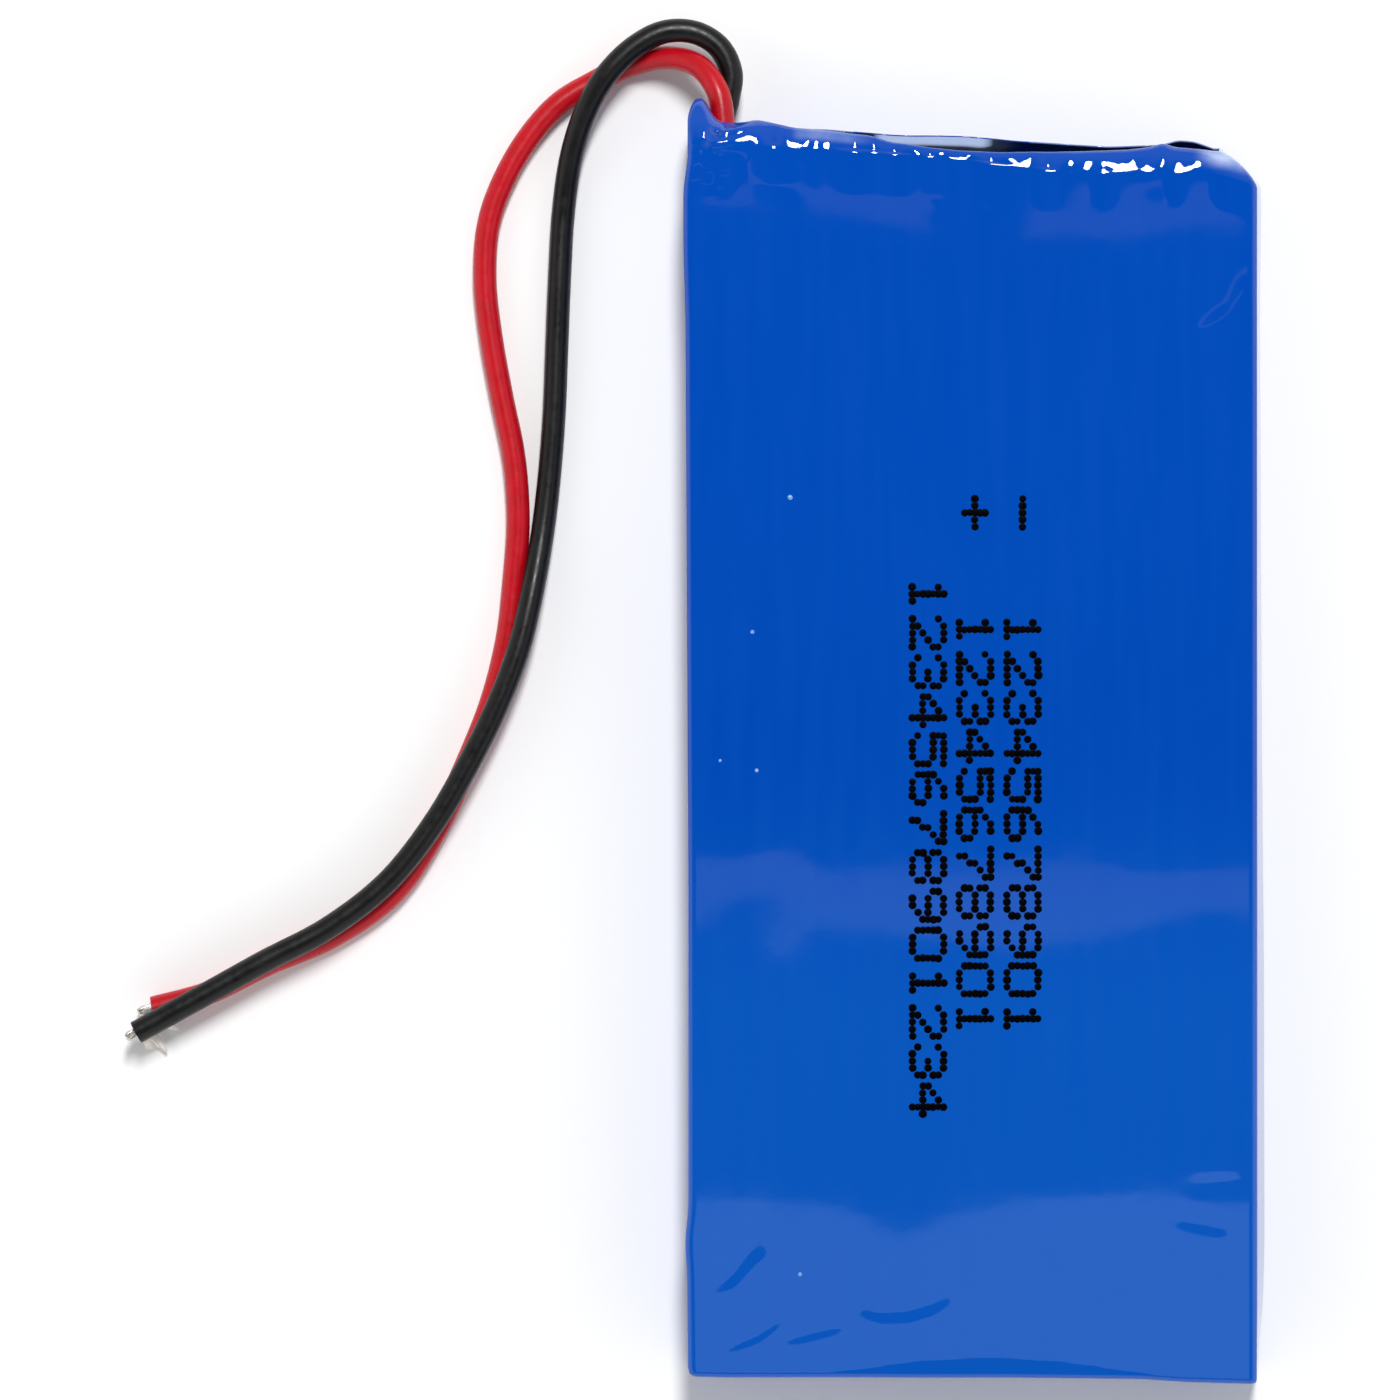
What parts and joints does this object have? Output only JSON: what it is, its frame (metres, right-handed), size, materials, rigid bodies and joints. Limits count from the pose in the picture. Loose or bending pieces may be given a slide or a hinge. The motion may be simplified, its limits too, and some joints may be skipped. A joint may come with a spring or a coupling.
{
  "type": "pouch battery pack",
  "caption": "Flat lithium-polymer pouch battery in a glossy heat-shrink sleeve, with a red and a black flying lead out of one end corner.",
  "frame": {"origin": "middle of the underside of the sleeve, so the pack lies on z = 0", "axes": "+Z through the pack's thickness, up; +Y along its length, towards the end the leads leave; +X across its width, with the leads on the -X side"},
  "size_m": [0.0817, 0.0974, 0.0079],
  "materials": {
    "sleeve_film": "clear gloss, shrunk tight with soft ripples",
    "insulation_paper": "matte, waxed",
    "bond_tape": "thin matte tissue with adhesive",
    "pouch_laminate": "satin foil under clear nylon",
    "anode_foil": "graphite coating on copper",
    "cathode_foil": "oxide coating on aluminium",
    "separator_film": "thin, milky",
    "roll_tape": "smooth film",
    "aluminium_tab": "bright rolled strip",
    "nickel_tab": "rolled nickel",
    "tab_sealant": "hot-melt film",
    "circuit_board": "solder mask",
    "gold_pad": "thin gold flash",
    "chip_body": "moulded, fine grain",
    "resistor_body": "glazed top, tinned ends",
    "capacitor_body": "matte, tinned ends",
    "solder": "smooth solidified fillet",
    "red_insulation": "smooth soft silicone rubber",
    "black_insulation": "smooth soft silicone rubber",
    "tinned_copper": "twisted strands dipped in tin"
  },
  "bodies": {
    "root": {"shrink_sleeve": "sleeve_film", "head_insulator": "insulation_paper", "cell_bond_tape": "bond_tape", "lower_cell_cup": "pouch_laminate", "upper_cell_cup": "pouch_laminate", "lower_cell_lid": "pouch_laminate", "upper_cell_lid": "pouch_laminate", "lower_anode_winding": "anode_foil", "upper_anode_winding": "anode_foil", "lower_cathode_winding": "cathode_foil", "upper_cathode_winding": "cathode_foil", "lower_separator_winding": "separator_film", "upper_separator_winding": "separator_film", "lower_roll_tape": "roll_tape", "upper_roll_tape": "roll_tape", "lower_positive_tab": "aluminium_tab", "upper_positive_tab": "aluminium_tab", "lower_negative_tab": "nickel_tab", "upper_negative_tab": "nickel_tab", "lower_tab_sealant": "tab_sealant", "upper_tab_sealant": "tab_sealant", "lower_tab_adapter": "nickel_tab", "upper_tab_adapter": "nickel_tab", "protection_board": "circuit_board", "board_pads": "gold_pad", "protection_ic": "chip_body", "mosfets": "chip_body", "chip_resistors": "resistor_body", "chip_capacitors": "capacitor_body", "solder_joints": "solder", "red_lead": "red_insulation", "black_lead": "black_insulation", "red_lead_inner_end": "tinned_copper", "black_lead_inner_end": "tinned_copper", "red_lead_tip": "tinned_copper", "black_lead_tip": "tinned_copper"}
  },
  "joints": []
}
